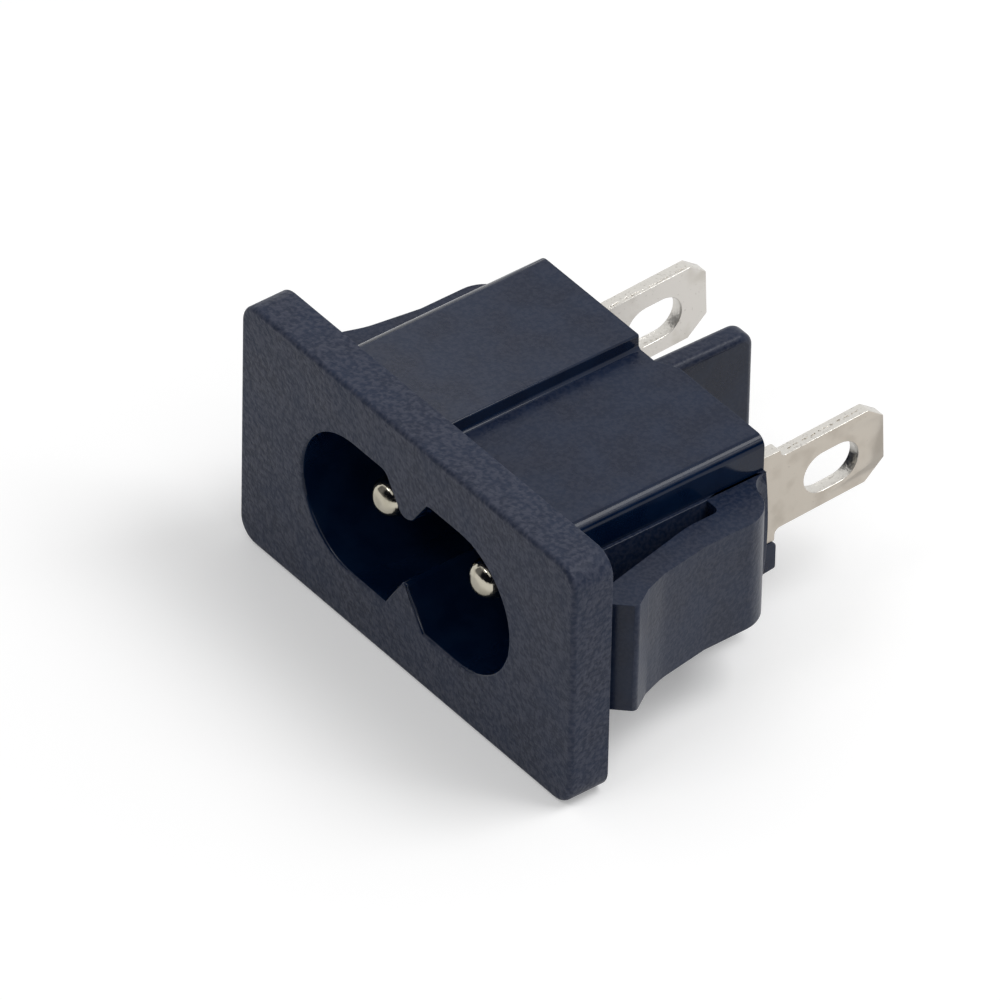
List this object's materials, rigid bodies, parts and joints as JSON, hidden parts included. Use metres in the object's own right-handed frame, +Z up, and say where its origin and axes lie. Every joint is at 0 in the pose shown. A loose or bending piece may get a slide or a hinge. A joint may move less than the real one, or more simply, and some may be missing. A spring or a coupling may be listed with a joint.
{
  "type": "figure-eight appliance inlet",
  "caption": "Snap-in figure-eight power inlet: flanged black body with a keyed recess, round pins, spring arms, a rear barrier and solder lugs.",
  "frame": {"origin": "centre of the panel cut-out at the flange's back face, which seats on the panel", "axes": "+X to the right seen from the front, +Y into the appliance, +Z up"},
  "size_m": [0.0294, 0.0266, 0.0164],
  "materials": {
    "housing_plastic": "near-black, fine matte grain on the flange, satin on the body",
    "pin_metal": "nickel plated, smooth turned",
    "lug_metal": "tin plated strip, dull, with bright punched edges"
  },
  "bodies": {
    "root": {"housing": "housing_plastic", "contact_pin_left": "pin_metal", "contact_pin_right": "pin_metal", "solder_lug_left": "lug_metal", "solder_lug_right": "lug_metal"}
  },
  "joints": []
}
